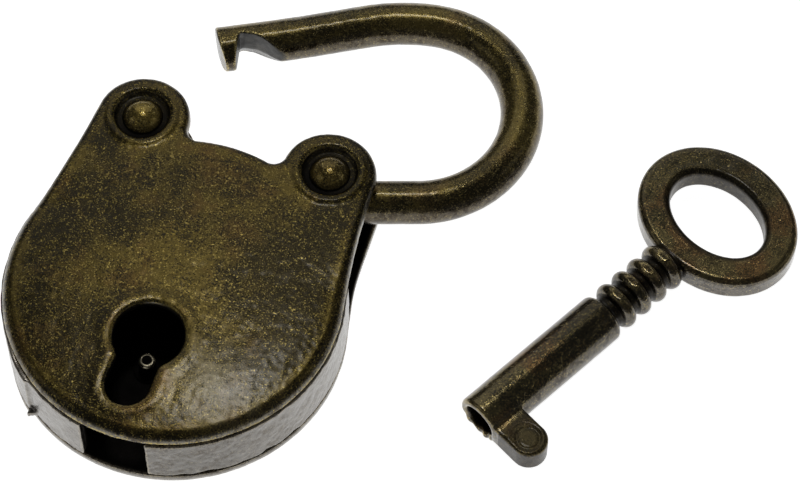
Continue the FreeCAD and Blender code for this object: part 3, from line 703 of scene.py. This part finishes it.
def unevenness(points, size, seed):
    """A smooth, repeatable ripple between about -1 and 1 with features of a given size."""
    rng = np.random.default_rng(seed)
    waves = rng.normal(size=(WAVES, 3))
    waves *= (2 * math.pi / size) / np.linalg.norm(waves, axis=1)[:, None]
    waves *= rng.uniform(0.6, 1.5, (WAVES, 1))
    phases = rng.uniform(0, 2 * math.pi, WAVES)
    return np.sin(points @ waves.T + phases).sum(1) / math.sqrt(WAVES)


def placement(x=0.0, y=0.0, z=0.0, angle=0.0):
    """From a piece's own millimetres to the shared frame in metres."""
    move = Matrix.Translation(Vector((x, y, z)) * MM)
    turn = Matrix.Rotation(angle, 4, "Z")
    return move @ turn @ Matrix.Scale(MM, 4)


def make_piece(name, field, low, high, step, seed, roughness, place, masks):
    """A skinned, slightly uneven casting as a Blender object, with masks for its finish and for its
    painted light and shade.
    """
    points, quads = skin(field, low, high, step)
    fine = bend_of(field, points, FINE_REACH)
    wide = bend_of(field, points, WIDE_REACH)
    slope = slope_of(field, points)
    normal = slope / np.maximum(np.linalg.norm(slope, axis=1), 1e-6)[:, None]
    ripple = unevenness(points, LONG_RIPPLE, seed)
    ripple = ripple + SHORT_SHARE * unevenness(points, SHORT_RIPPLE, seed + 1)
    points = points - normal * np.abs(ripple * roughness)[:, None]
    matrix = np.array(place)
    world = points @ matrix[:3, :3].T + matrix[:3, 3]
    mesh = bpy.data.meshes.new(name)
    mesh.from_pydata(world.tolist(), [], quads.tolist())
    mesh.polygons.foreach_set("use_smooth", [True] * len(quads))
    # Steep faces, which the bronzes paint greyer as painted light.
    flank = np.clip((LEVEL_NORMAL - normal[:, 2]) / FLANK_BLEND, 0, 1)
    even = np.full(len(points), 0.5)
    values_of = {"fine_bend": fine, "wide_bend": wide, "flank": flank, "rub": even}
    for mask, function in masks.items():
        values_of[mask] = np.clip(function(*points.T), 0, 1)
    for attribute, values in values_of.items():
        layer = mesh.attributes.new(attribute, "FLOAT", "POINT")
        layer.data.foreach_set("value", values.astype(np.float32))
    mesh.update()
    piece = bpy.data.objects.new(name, mesh)
    bpy.context.scene.collection.objects.link(piece)
    return piece


# ---------------------------------------------------------------- materials


class Finish:
    """Shorthand for building one procedural material."""

    def __init__(self, name):
        self.material = bpy.data.materials.new(name)
        self.material.use_nodes = True
        self.tree = self.material.node_tree
        self.shader = self.tree.nodes["Principled BSDF"]
        in_metres = self.node("ShaderNodeTexCoord").outputs["Object"]
        self.place = self.mapped(in_metres, Scale=(1 / MM, 1 / MM, 1 / MM))

    def node(self, kind, **settings):
        """A new node with the given properties."""
        made = self.tree.nodes.new(kind)
        for key, value in settings.items():
            setattr(made, key, value)
        return made

    def feed(self, socket, value):
        """Links a socket to another one, or sets it to a plain value."""
        if isinstance(value, bpy.types.NodeSocket):
            self.tree.links.new(value, socket)
        else:
            socket.default_value = value

    def mapped(self, vector, **settings):
        """A vector after a mapping with the given Location, Rotation or Scale."""
        made = self.node("ShaderNodeMapping")
        self.feed(made.inputs["Vector"], vector)
        for key, value in settings.items():
            made.inputs[key].default_value = value
        return made.outputs["Vector"]

    def noise(self, size, detail=3.0, rough=0.55, place=None, bend=0.0):
        """Soft random values about 0.5, with features of the given size in millimetres."""
        made = self.node("ShaderNodeTexNoise")
        self.feed(made.inputs["Vector"], place or self.place)
        made.inputs["Scale"].default_value = 1 / size
        made.inputs["Detail"].default_value = detail
        made.inputs["Roughness"].default_value = rough
        made.inputs["Distortion"].default_value = bend
        return made.outputs["Fac"]

    def calc(self, operation, first, second=0.0, third=0.0):
        """The result of a math operation on up to three values."""
        made = self.node("ShaderNodeMath", operation=operation)
        for socket, value in zip(made.inputs, (first, second, third)):
            self.feed(socket, value)
        return made.outputs["Value"]

    def step(self, value, low, high, to_low=0.0, to_high=1.0):
        """Goes smoothly from to_low to to_high as value goes from low to high."""
        made = self.node("ShaderNodeMapRange", interpolation_type="SMOOTHSTEP")
        for socket, number in zip(made.inputs, (value, low, high, to_low, to_high)):
            self.feed(socket, number)
        return made.outputs["Result"]

    def mix(self, factor, first, second):
        """The first colour where factor is 0, and the second where it is 1."""
        made = self.node("ShaderNodeMix", data_type="RGBA")
        self.feed(made.inputs[0], factor)
        self.feed(made.inputs[6], first)
        self.feed(made.inputs[7], second)
        return made.outputs[2]

    def attribute(self, name):
        """One of the masks that make_piece stores in the mesh."""
        return self.node("ShaderNodeAttribute", attribute_name=name).outputs["Fac"]

    def bump(self, height, depth, normal=None):
        """Raises the surface by depth, in millimetres, where height is 1."""
        made = self.node("ShaderNodeBump")
        made.inputs["Distance"].default_value = depth * MM
        self.feed(made.inputs["Height"], height)
        if normal:
            self.feed(made.inputs["Normal"], normal)
        return made.outputs["Normal"]

    def hairs(self, size, width, often):
        """Thin curved tumbling marks, broken into short lengths."""
        total = None
        for shift in (0.0, 31.0):
            moved = self.mapped(self.place, Location=(shift, shift, shift))
            field = self.noise(size, 1.0, 0.4, moved, bend=0.8)
            off_line = self.calc("ABSOLUTE", self.calc("SUBTRACT", field, 0.5))
            line = self.step(off_line, width, 0.0)
            broken = self.noise(size * 0.8, 2.0, 0.5, moved)
            line = self.calc("MULTIPLY", line, self.step(broken, often, often + 0.08))
            total = line if total is None else self.calc("MAXIMUM", total, line)
        return total


def colour(red, green, blue):
    """An opaque colour."""
    return (red, green, blue, 1.0)


# Near black, the colour of painted shade and of grime.
BLACK = colour(0.010, 0.009, 0.008)


class Bronze(Finish):
    """Plated metal: dark in hollows, partly grime and partly painted shade, olive gold where it is
    rubbed, greyer on steep faces as painted light, marked by tumbling.
    """

    def __init__(self, name):
        super().__init__(name)
        self.blotch = self.noise(1.8, 5.0, 0.7, bend=0.3)
        self.speck = self.noise(0.14, 1.0, 0.5)
        self.fleck = self.noise(0.42, 3.0, 0.65)
        self.marks = self.hairs(0.75, 0.018, 0.54)

    def plating(self, dark, middle, patch, side, rubbed):
        """Colour of the plating: dark to rubbed on level faces, and greyer on steep ones as painted
        light.
        """
        broad = self.noise(8.0, 2.0, 0.5, bend=0.3)
        tone = self.calc("MULTIPLY_ADD", broad, 0.4, self.calc("MULTIPLY", self.blotch, 0.3))
        tone = self.calc("MULTIPLY_ADD", self.speck, 0.3, tone)
        # This mask holds rubbing, and on the cover also painted light and a painted sheen.
        rub = self.calc("SUBTRACT", self.attribute("rub"), 0.55)
        tone = self.calc("MULTIPLY_ADD", rub, 0.19, tone)
        tinted = self.mix(self.step(self.noise(5.0, 3.0, 0.6), 0.48, 0.62), middle, patch)
        level = self.mix(self.step(tone, *rubbed), dark, tinted)
        stain = self.step(self.calc("ADD", self.blotch, self.fleck), 0.86, 1.04)
        steep = self.mix(stain, side[0], side[1])
        # Painted light: steep faces take the greyer side colours.
        return self.mix(self.calc("MULTIPLY", self.attribute("flank"), 0.9), level, steep)

    def shine(self, edge, glints):
        """Where bright metal shows: on worn edges, in fine glints and along the marks."""
        bulge = self.step(self.attribute("fine_bend"), *edge)
        broken = self.step(self.calc("ADD", self.blotch, self.speck), 0.85, 1.15)
        wear = self.calc("MULTIPLY", self.calc("MULTIPLY", bulge, broken), 0.7)
        bright_specks = self.step(self.speck, 0.55, 0.75)
        glint = self.calc("MULTIPLY", bright_specks, self.step(self.fleck, 0.42, 0.60))
        shine = self.calc("MAXIMUM", wear, self.calc("MULTIPLY", glint, glints))
        return self.calc("MAXIMUM", shine, self.calc("MULTIPLY", self.marks, 0.6 * glints))

    def dirt_and_shade(self, glints):
        """Where it is dark: in hollows, partly grime and partly painted shade, and in fine pits."""
        # Hollows darkened by concavity, partly grime and partly painted shade.
        hollow = self.step(self.calc("MULTIPLY", self.attribute("wide_bend"), -1.0), 0.12, 0.9)
        dark_specks = self.step(self.speck, 0.46, 0.28)
        pits = self.calc("MULTIPLY", dark_specks, self.step(self.fleck, 0.60, 0.42))
        pits = self.calc("MULTIPLY", pits, glints)
        return self.calc("MAXIMUM", self.calc("MULTIPLY", hollow, 0.85), pits)

    def roughness(self, gloss, shine, gloom):
        """From the first gloss to the second by grain, smoother where it shines, duller under the
        painted shade.
        """
        grain = self.step(self.calc("ADD", self.speck, self.blotch), 0.75, 1.25)
        rough = self.calc("MULTIPLY_ADD", grain, gloss[1] - gloss[0], gloss[0])
        rough = self.calc("MULTIPLY_ADD", shine, -0.06, rough)
        return self.calc("MULTIPLY_ADD", gloom, 0.3, rough)

    def relief(self, glints, wave):
        """Soft waves of the casting, its fine grain, and the scratched marks."""
        normal = self.bump(self.noise(2.2, 2.0, 0.5), wave)
        normal = self.bump(self.speck, 0.018 * glints, normal)
        return self.bump(self.marks, -0.008, normal)


def bronze(
    name, dark, middle, patch, bright, side, rubbed, edge, gloss, coat, glints, wave, bare=None
):
    """One bronze: colours, with the side colours painted light for steep faces and the last pair for
    worn-through metal and painted light, then how far it is rubbed, worn, glossy, glinting and wavy.
    """
    f = Bronze(name)
    # The painted shade mask of each piece.
    gloom = f.attribute("gloom")
    shine = f.shine(edge, glints)
    # Plating with its painted light, and worn metal where it shines.
    worn = f.mix(shine, f.plating(dark, middle, patch, side, rubbed), bright)
    # Cut metal on the shackle's nose, a painted sheen on the cover, a painted reflection on the walls,
    # and a paler lower edge on the plate.
    if bare:
        cut = f.mix(f.step(f.blotch, 0.35, 0.65), bare[0], bare[1])
        worn = f.mix(f.attribute("bare"), worn, cut)
    # Painted shade and grime, mixed to near black.
    grimy_and_shaded = f.mix(f.calc("MAXIMUM", f.dirt_and_shade(glints), gloom), worn, BLACK)
    f.feed(f.shader.inputs["Base Color"], grimy_and_shaded)
    f.shader.inputs["Metallic"].default_value = 1.0
    f.feed(f.shader.inputs["Roughness"], f.roughness(gloss, shine, gloom))
    f.feed(f.shader.inputs["Coat Weight"], f.calc("MULTIPLY_ADD", gloom, -coat[0], coat[0]))
    f.shader.inputs["Coat Roughness"].default_value = coat[1]
    f.feed(f.shader.inputs["Normal"], f.relief(glints, wave))
    return f.material


def steel(name, shade, gloss):
    """Steel of a given shade, mottled and with fine machining marks, and near black under the painted
    shade.
    """
    f = Finish(name)
    blotch = f.noise(1.2, 4.0, 0.6)
    marks = f.hairs(1.1, 0.02, 0.5)
    base = f.mix(f.step(blotch, 0.3, 0.7), shade, colour(*(c * 0.45 for c in shade[:3])))
    gloom = f.attribute("gloom")
    f.feed(f.shader.inputs["Base Color"], f.mix(gloom, base, BLACK))
    f.shader.inputs["Metallic"].default_value = 1.0
    rough = f.step(blotch, 0.3, 0.7, gloss[0], gloss[1])
    f.feed(f.shader.inputs["Roughness"], f.calc("MULTIPLY_ADD", gloom, 0.4, rough))
    f.feed(f.shader.inputs["Normal"], f.bump(marks, 0.006))
    return f.material


# In each bronze the side colours are painted light, for steep faces.
MATERIALS = {
    "cover_bronze": bronze(
        "cover_bronze",
        dark=colour(0.026, 0.020, 0.007),
        middle=colour(0.102, 0.073, 0.016),
        patch=colour(0.100, 0.062, 0.016),
        bright=colour(0.50, 0.38, 0.10),
        side=(colour(0.085, 0.070, 0.050), colour(0.17, 0.16, 0.14)),
        rubbed=(0.40, 0.56),
        edge=(1.5, 3.6),
        gloss=(0.26, 0.36),
        coat=(0.3, 0.2),
        glints=0.8,
        wave=0.012,
        # The pale grey of the painted sheen right of the keyhole.
        bare=(colour(0.055, 0.052, 0.040), colour(0.22, 0.21, 0.17)),
    ),
    "wall_bronze": bronze(
        "wall_bronze",
        dark=colour(0.060, 0.045, 0.030),
        middle=colour(0.145, 0.132, 0.112),
        patch=colour(0.110, 0.088, 0.060),
        bright=colour(0.34, 0.29, 0.20),
        side=(colour(0.088, 0.075, 0.058), colour(0.134, 0.125, 0.110)),
        rubbed=(0.41, 0.55),
        edge=(1.2, 3.4),
        gloss=(0.26, 0.38),
        coat=(0.3, 0.2),
        glints=0.6,
        wave=0.03,
        # Paler greys for the painted reflection on the walls and for the plate's lower edge.
        bare=(colour(0.26, 0.24, 0.21), colour(0.42, 0.40, 0.37)),
    ),
    "rivet_bronze": bronze(
        "rivet_bronze",
        dark=colour(0.080, 0.057, 0.016),
        middle=colour(0.27, 0.195, 0.045),
        patch=colour(0.24, 0.165, 0.042),
        bright=colour(0.75, 0.60, 0.22),
        side=(colour(0.035, 0.027, 0.012), colour(0.11, 0.083, 0.032)),
        rubbed=(0.38, 0.54),
        edge=(1.8, 3.8),
        gloss=(0.20, 0.30),
        coat=(0.3, 0.12),
        glints=0.9,
        wave=0.01,
    ),
    "shackle_bronze": bronze(
        "shackle_bronze",
        dark=colour(0.038, 0.030, 0.013),
        middle=colour(0.160, 0.119, 0.033),
        patch=colour(0.145, 0.098, 0.034),
        bright=colour(0.62, 0.50, 0.21),
        side=(colour(0.050, 0.039, 0.027), colour(0.100, 0.085, 0.063)),
        rubbed=(0.39, 0.56),
        edge=(1.4, 3.4),
        gloss=(0.23, 0.35),
        coat=(0.25, 0.14),
        glints=0.45,
        wave=0.012,
        bare=(colour(0.035, 0.035, 0.033), colour(0.12, 0.12, 0.115)),
    ),
    "key_bronze": bronze(
        "key_bronze",
        dark=colour(0.045, 0.037, 0.019),
        middle=colour(0.140, 0.110, 0.046),
        patch=colour(0.155, 0.090, 0.036),
        bright=colour(0.46, 0.36, 0.15),
        side=(colour(0.045, 0.038, 0.030), colour(0.098, 0.090, 0.076)),
        rubbed=(0.40, 0.54),
        edge=(1.6, 3.6),
        gloss=(0.16, 0.26),
        coat=(0.4, 0.1),
        glints=0.7,
        wave=0.004,
    ),
    "pin_steel": steel("pin_steel", colour(0.85, 0.75, 0.52), (0.2, 0.35)),
    # Painted shade: the works inside the case are painted near black.
    "works_steel": steel("works_steel", colour(0.035, 0.033, 0.03), (0.45, 0.6)),
}


# ---------------------------------------------------------------- pieces

MARGIN = 0.4


def clothe(node, field, step, seed, slot, body="case", rough=0.012, place=None, area=None, **masks):
    """Makes the visible piece for one CAD node."""
    low, high = area or span(node)
    low = np.array(low) - MARGIN
    high = np.array(high) + MARGIN
    place = place or placement()
    piece = make_piece(f"{node}_skin", field, low, high, step, seed, rough, place, masks)
    piece.data.materials.append(MATERIALS[slot])
    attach(piece, body)
    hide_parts(node)
    return piece


SHACKLE_PLACE = placement(HINGE[0], HINGE[1], BAR_Z, -OPEN_ANGLE)
SHACKLE_AREA = (
    (LEG_X - BAR_R, NOSE_Y, -BAR_R),
    (BOW_X + BOW_R + BAR_R, BOW[1] + BOW_R + BAR_R, BAR_R),
)
KEY_PLACE = placement(*KEY_AXIS, KEY_ANGLE - math.pi / 2)
KEY_AREA = (
    (-BOW_ACROSS - BOW_HALF, KEY_TIP, -BARREL_R),
    (BOW_ACROSS + BOW_HALF, BOW_MIDDLE + BOW_ALONG + BOW_HALF, BARREL_R),
)

clothe("front_cover", cover_field, step=0.15, seed=11, slot="cover_bronze", rough=0.015,
       gloom=cover_gloom, rub=cover_rub, bare=cover_bare)
clothe("back_plate", plate_field, step=0.16, seed=21, slot="wall_bronze",
       gloom=plate_gloom, bare=plate_bare)
WALLS = {
    "wall_left": (wall_left_field, 31),
    "wall_right": (wall_right_field, 41),
    "wall_top": (wall_top_field, 51),
}
for node, (field, seed) in WALLS.items():
    clothe(node, field, step=0.15, seed=seed, slot="wall_bronze", rough=0.04,
           gloom=wall_gloom, bare=wall_bare)
clothe("hinge_rivet", hinge_rivet_field, step=0.08, seed=61, slot="rivet_bronze", gloom=head_gloom)
clothe("ear_stud", ear_stud_field, step=0.07, seed=71, slot="rivet_bronze", gloom=head_gloom)
clothe("key_pin", key_pin_field, step=0.06, seed=81, slot="pin_steel", rough=0.0, gloom=key_pin_gloom)
clothe("shackle", shackle_field, step=0.12, seed=91, slot="shackle_bronze", body="shackle",
       place=SHACKLE_PLACE, area=SHACKLE_AREA, gloom=shackle_gloom, bare=shackle_bare)
clothe("key", key_field, step=0.11, seed=101, slot="key_bronze", body="key", rough=0.006,
       place=KEY_PLACE, area=KEY_AREA, gloom=key_gloom)

# The rivets and guide pins show their tails in the plate. The rest of the works is painted near black,
# as painted shade.
for name, node in frame["nodes"].items():
    riveted = name.startswith(("bolt_guide", "case_rivet"))
    if riveted or name.startswith(("bolt", "hinge_washer")):
        for material_slot in node.material_slots:
            material_slot.material = MATERIALS["wall_bronze" if riveted else "works_steel"]


# ---------------------------------------------------------------- floor, light and camera

FLOOR_REACH = 1.5
FLOOR_GAP = 0.02 * MM
FLOOR_GLOW = 0.95
WORLD_GLOW = 0.10
TARGET = Vector((15.60, 14.58, 0.0)) * MM
CAMERA_AZIMUTH = 19.32
CAMERA_ELEVATION = 60.68
CAMERA_DISTANCE = 297.4 * MM
CAMERA_LENS = 149.6
SENSOR_WIDTH = 36.0
LIGHT_DISTANCE = 0.6
# Azimuth and elevation in degrees, width and height in metres, and radiance.
LIGHTS = {
    "back_softbox": (205, 40, 0.60, 0.42, 0.50),
    "key_lamp": (204, 73, 0.08, 0.06, 20.0),
    "left_softbox": (-60, 40, 0.30, 0.25, 0.25),
    "right_softbox": (105, 35, 0.20, 0.20, 0.25),
}


def make_floor():
    """A pale plane that the lock and key lie on, bright enough to read as white."""
    mesh = bpy.data.meshes.new("floor")
    corners = [(-1, -1, 0), (1, -1, 0), (1, 1, 0), (-1, 1, 0)]
    mesh.from_pydata([[FLOOR_REACH * c for c in corner] for corner in corners], [], [(0, 1, 2, 3)])
    floor = bpy.data.objects.new("floor", mesh)
    floor.location.z = -FLOOR_GAP
    bpy.context.scene.collection.objects.link(floor)
    f = Finish("floor_white")
    shade = f.mix(f.noise(40.0, 2.0, 0.5), colour(0.80, 0.80, 0.80), colour(0.83, 0.83, 0.83))
    f.feed(f.shader.inputs["Base Color"], shade)
    f.shader.inputs["Roughness"].default_value = 0.9
    f.shader.inputs["Emission Color"].default_value = colour(1.0, 1.0, 1.0)
    f.shader.inputs["Emission Strength"].default_value = FLOOR_GLOW
    mesh.materials.append(f.material)


def direction_to(azimuth, elevation):
    """Unit vector towards a place round the target. Azimuth 0 is towards -Y, 90 towards +X."""
    a = math.radians(azimuth)
    e = math.radians(elevation)
    return Vector((math.sin(a) * math.cos(e), -math.cos(a) * math.cos(e), math.sin(e)))


def make_light(name, azimuth, elevation, width, height, radiance):
    """A soft box that faces the target. Its power follows from how bright it should look."""
    data = bpy.data.lights.new(name, "AREA")
    data.shape = "RECTANGLE"
    data.size = width
    data.size_y = height
    data.energy = radiance * math.pi * width * height
    light = bpy.data.objects.new(name, data)
    away = direction_to(azimuth, elevation)
    light.location = TARGET + away * LIGHT_DISTANCE
    light.rotation_euler = away.to_track_quat("Z", "Y").to_euler()
    bpy.context.scene.collection.objects.link(light)


def make_camera():
    """A long lens that looks down on the front of the lock."""
    away = direction_to(CAMERA_AZIMUTH, CAMERA_ELEVATION)
    data = bpy.data.cameras.new("camera")
    data.sensor_width = SENSOR_WIDTH
    data.lens = CAMERA_LENS
    data.clip_start = 0.01
    data.dof.use_dof = False
    camera = bpy.data.objects.new("camera", data)
    camera.location = TARGET + away * CAMERA_DISTANCE
    camera.rotation_euler = away.to_track_quat("Z", "Y").to_euler()
    bpy.context.scene.collection.objects.link(camera)
    bpy.context.scene.camera = camera


def make_world():
    """A faint, even fill light."""
    world = bpy.data.worlds.new("studio")
    world.use_nodes = True
    background = world.node_tree.nodes["Background"]
    background.inputs["Color"].default_value = colour(0.95, 0.97, 1.0)
    background.inputs["Strength"].default_value = WORLD_GLOW
    bpy.context.scene.world = world


make_floor()
for light_name, settings in LIGHTS.items():
    make_light(light_name, *settings)
make_world()
make_camera()
bpy.context.scene.view_settings.view_transform = "Standard"
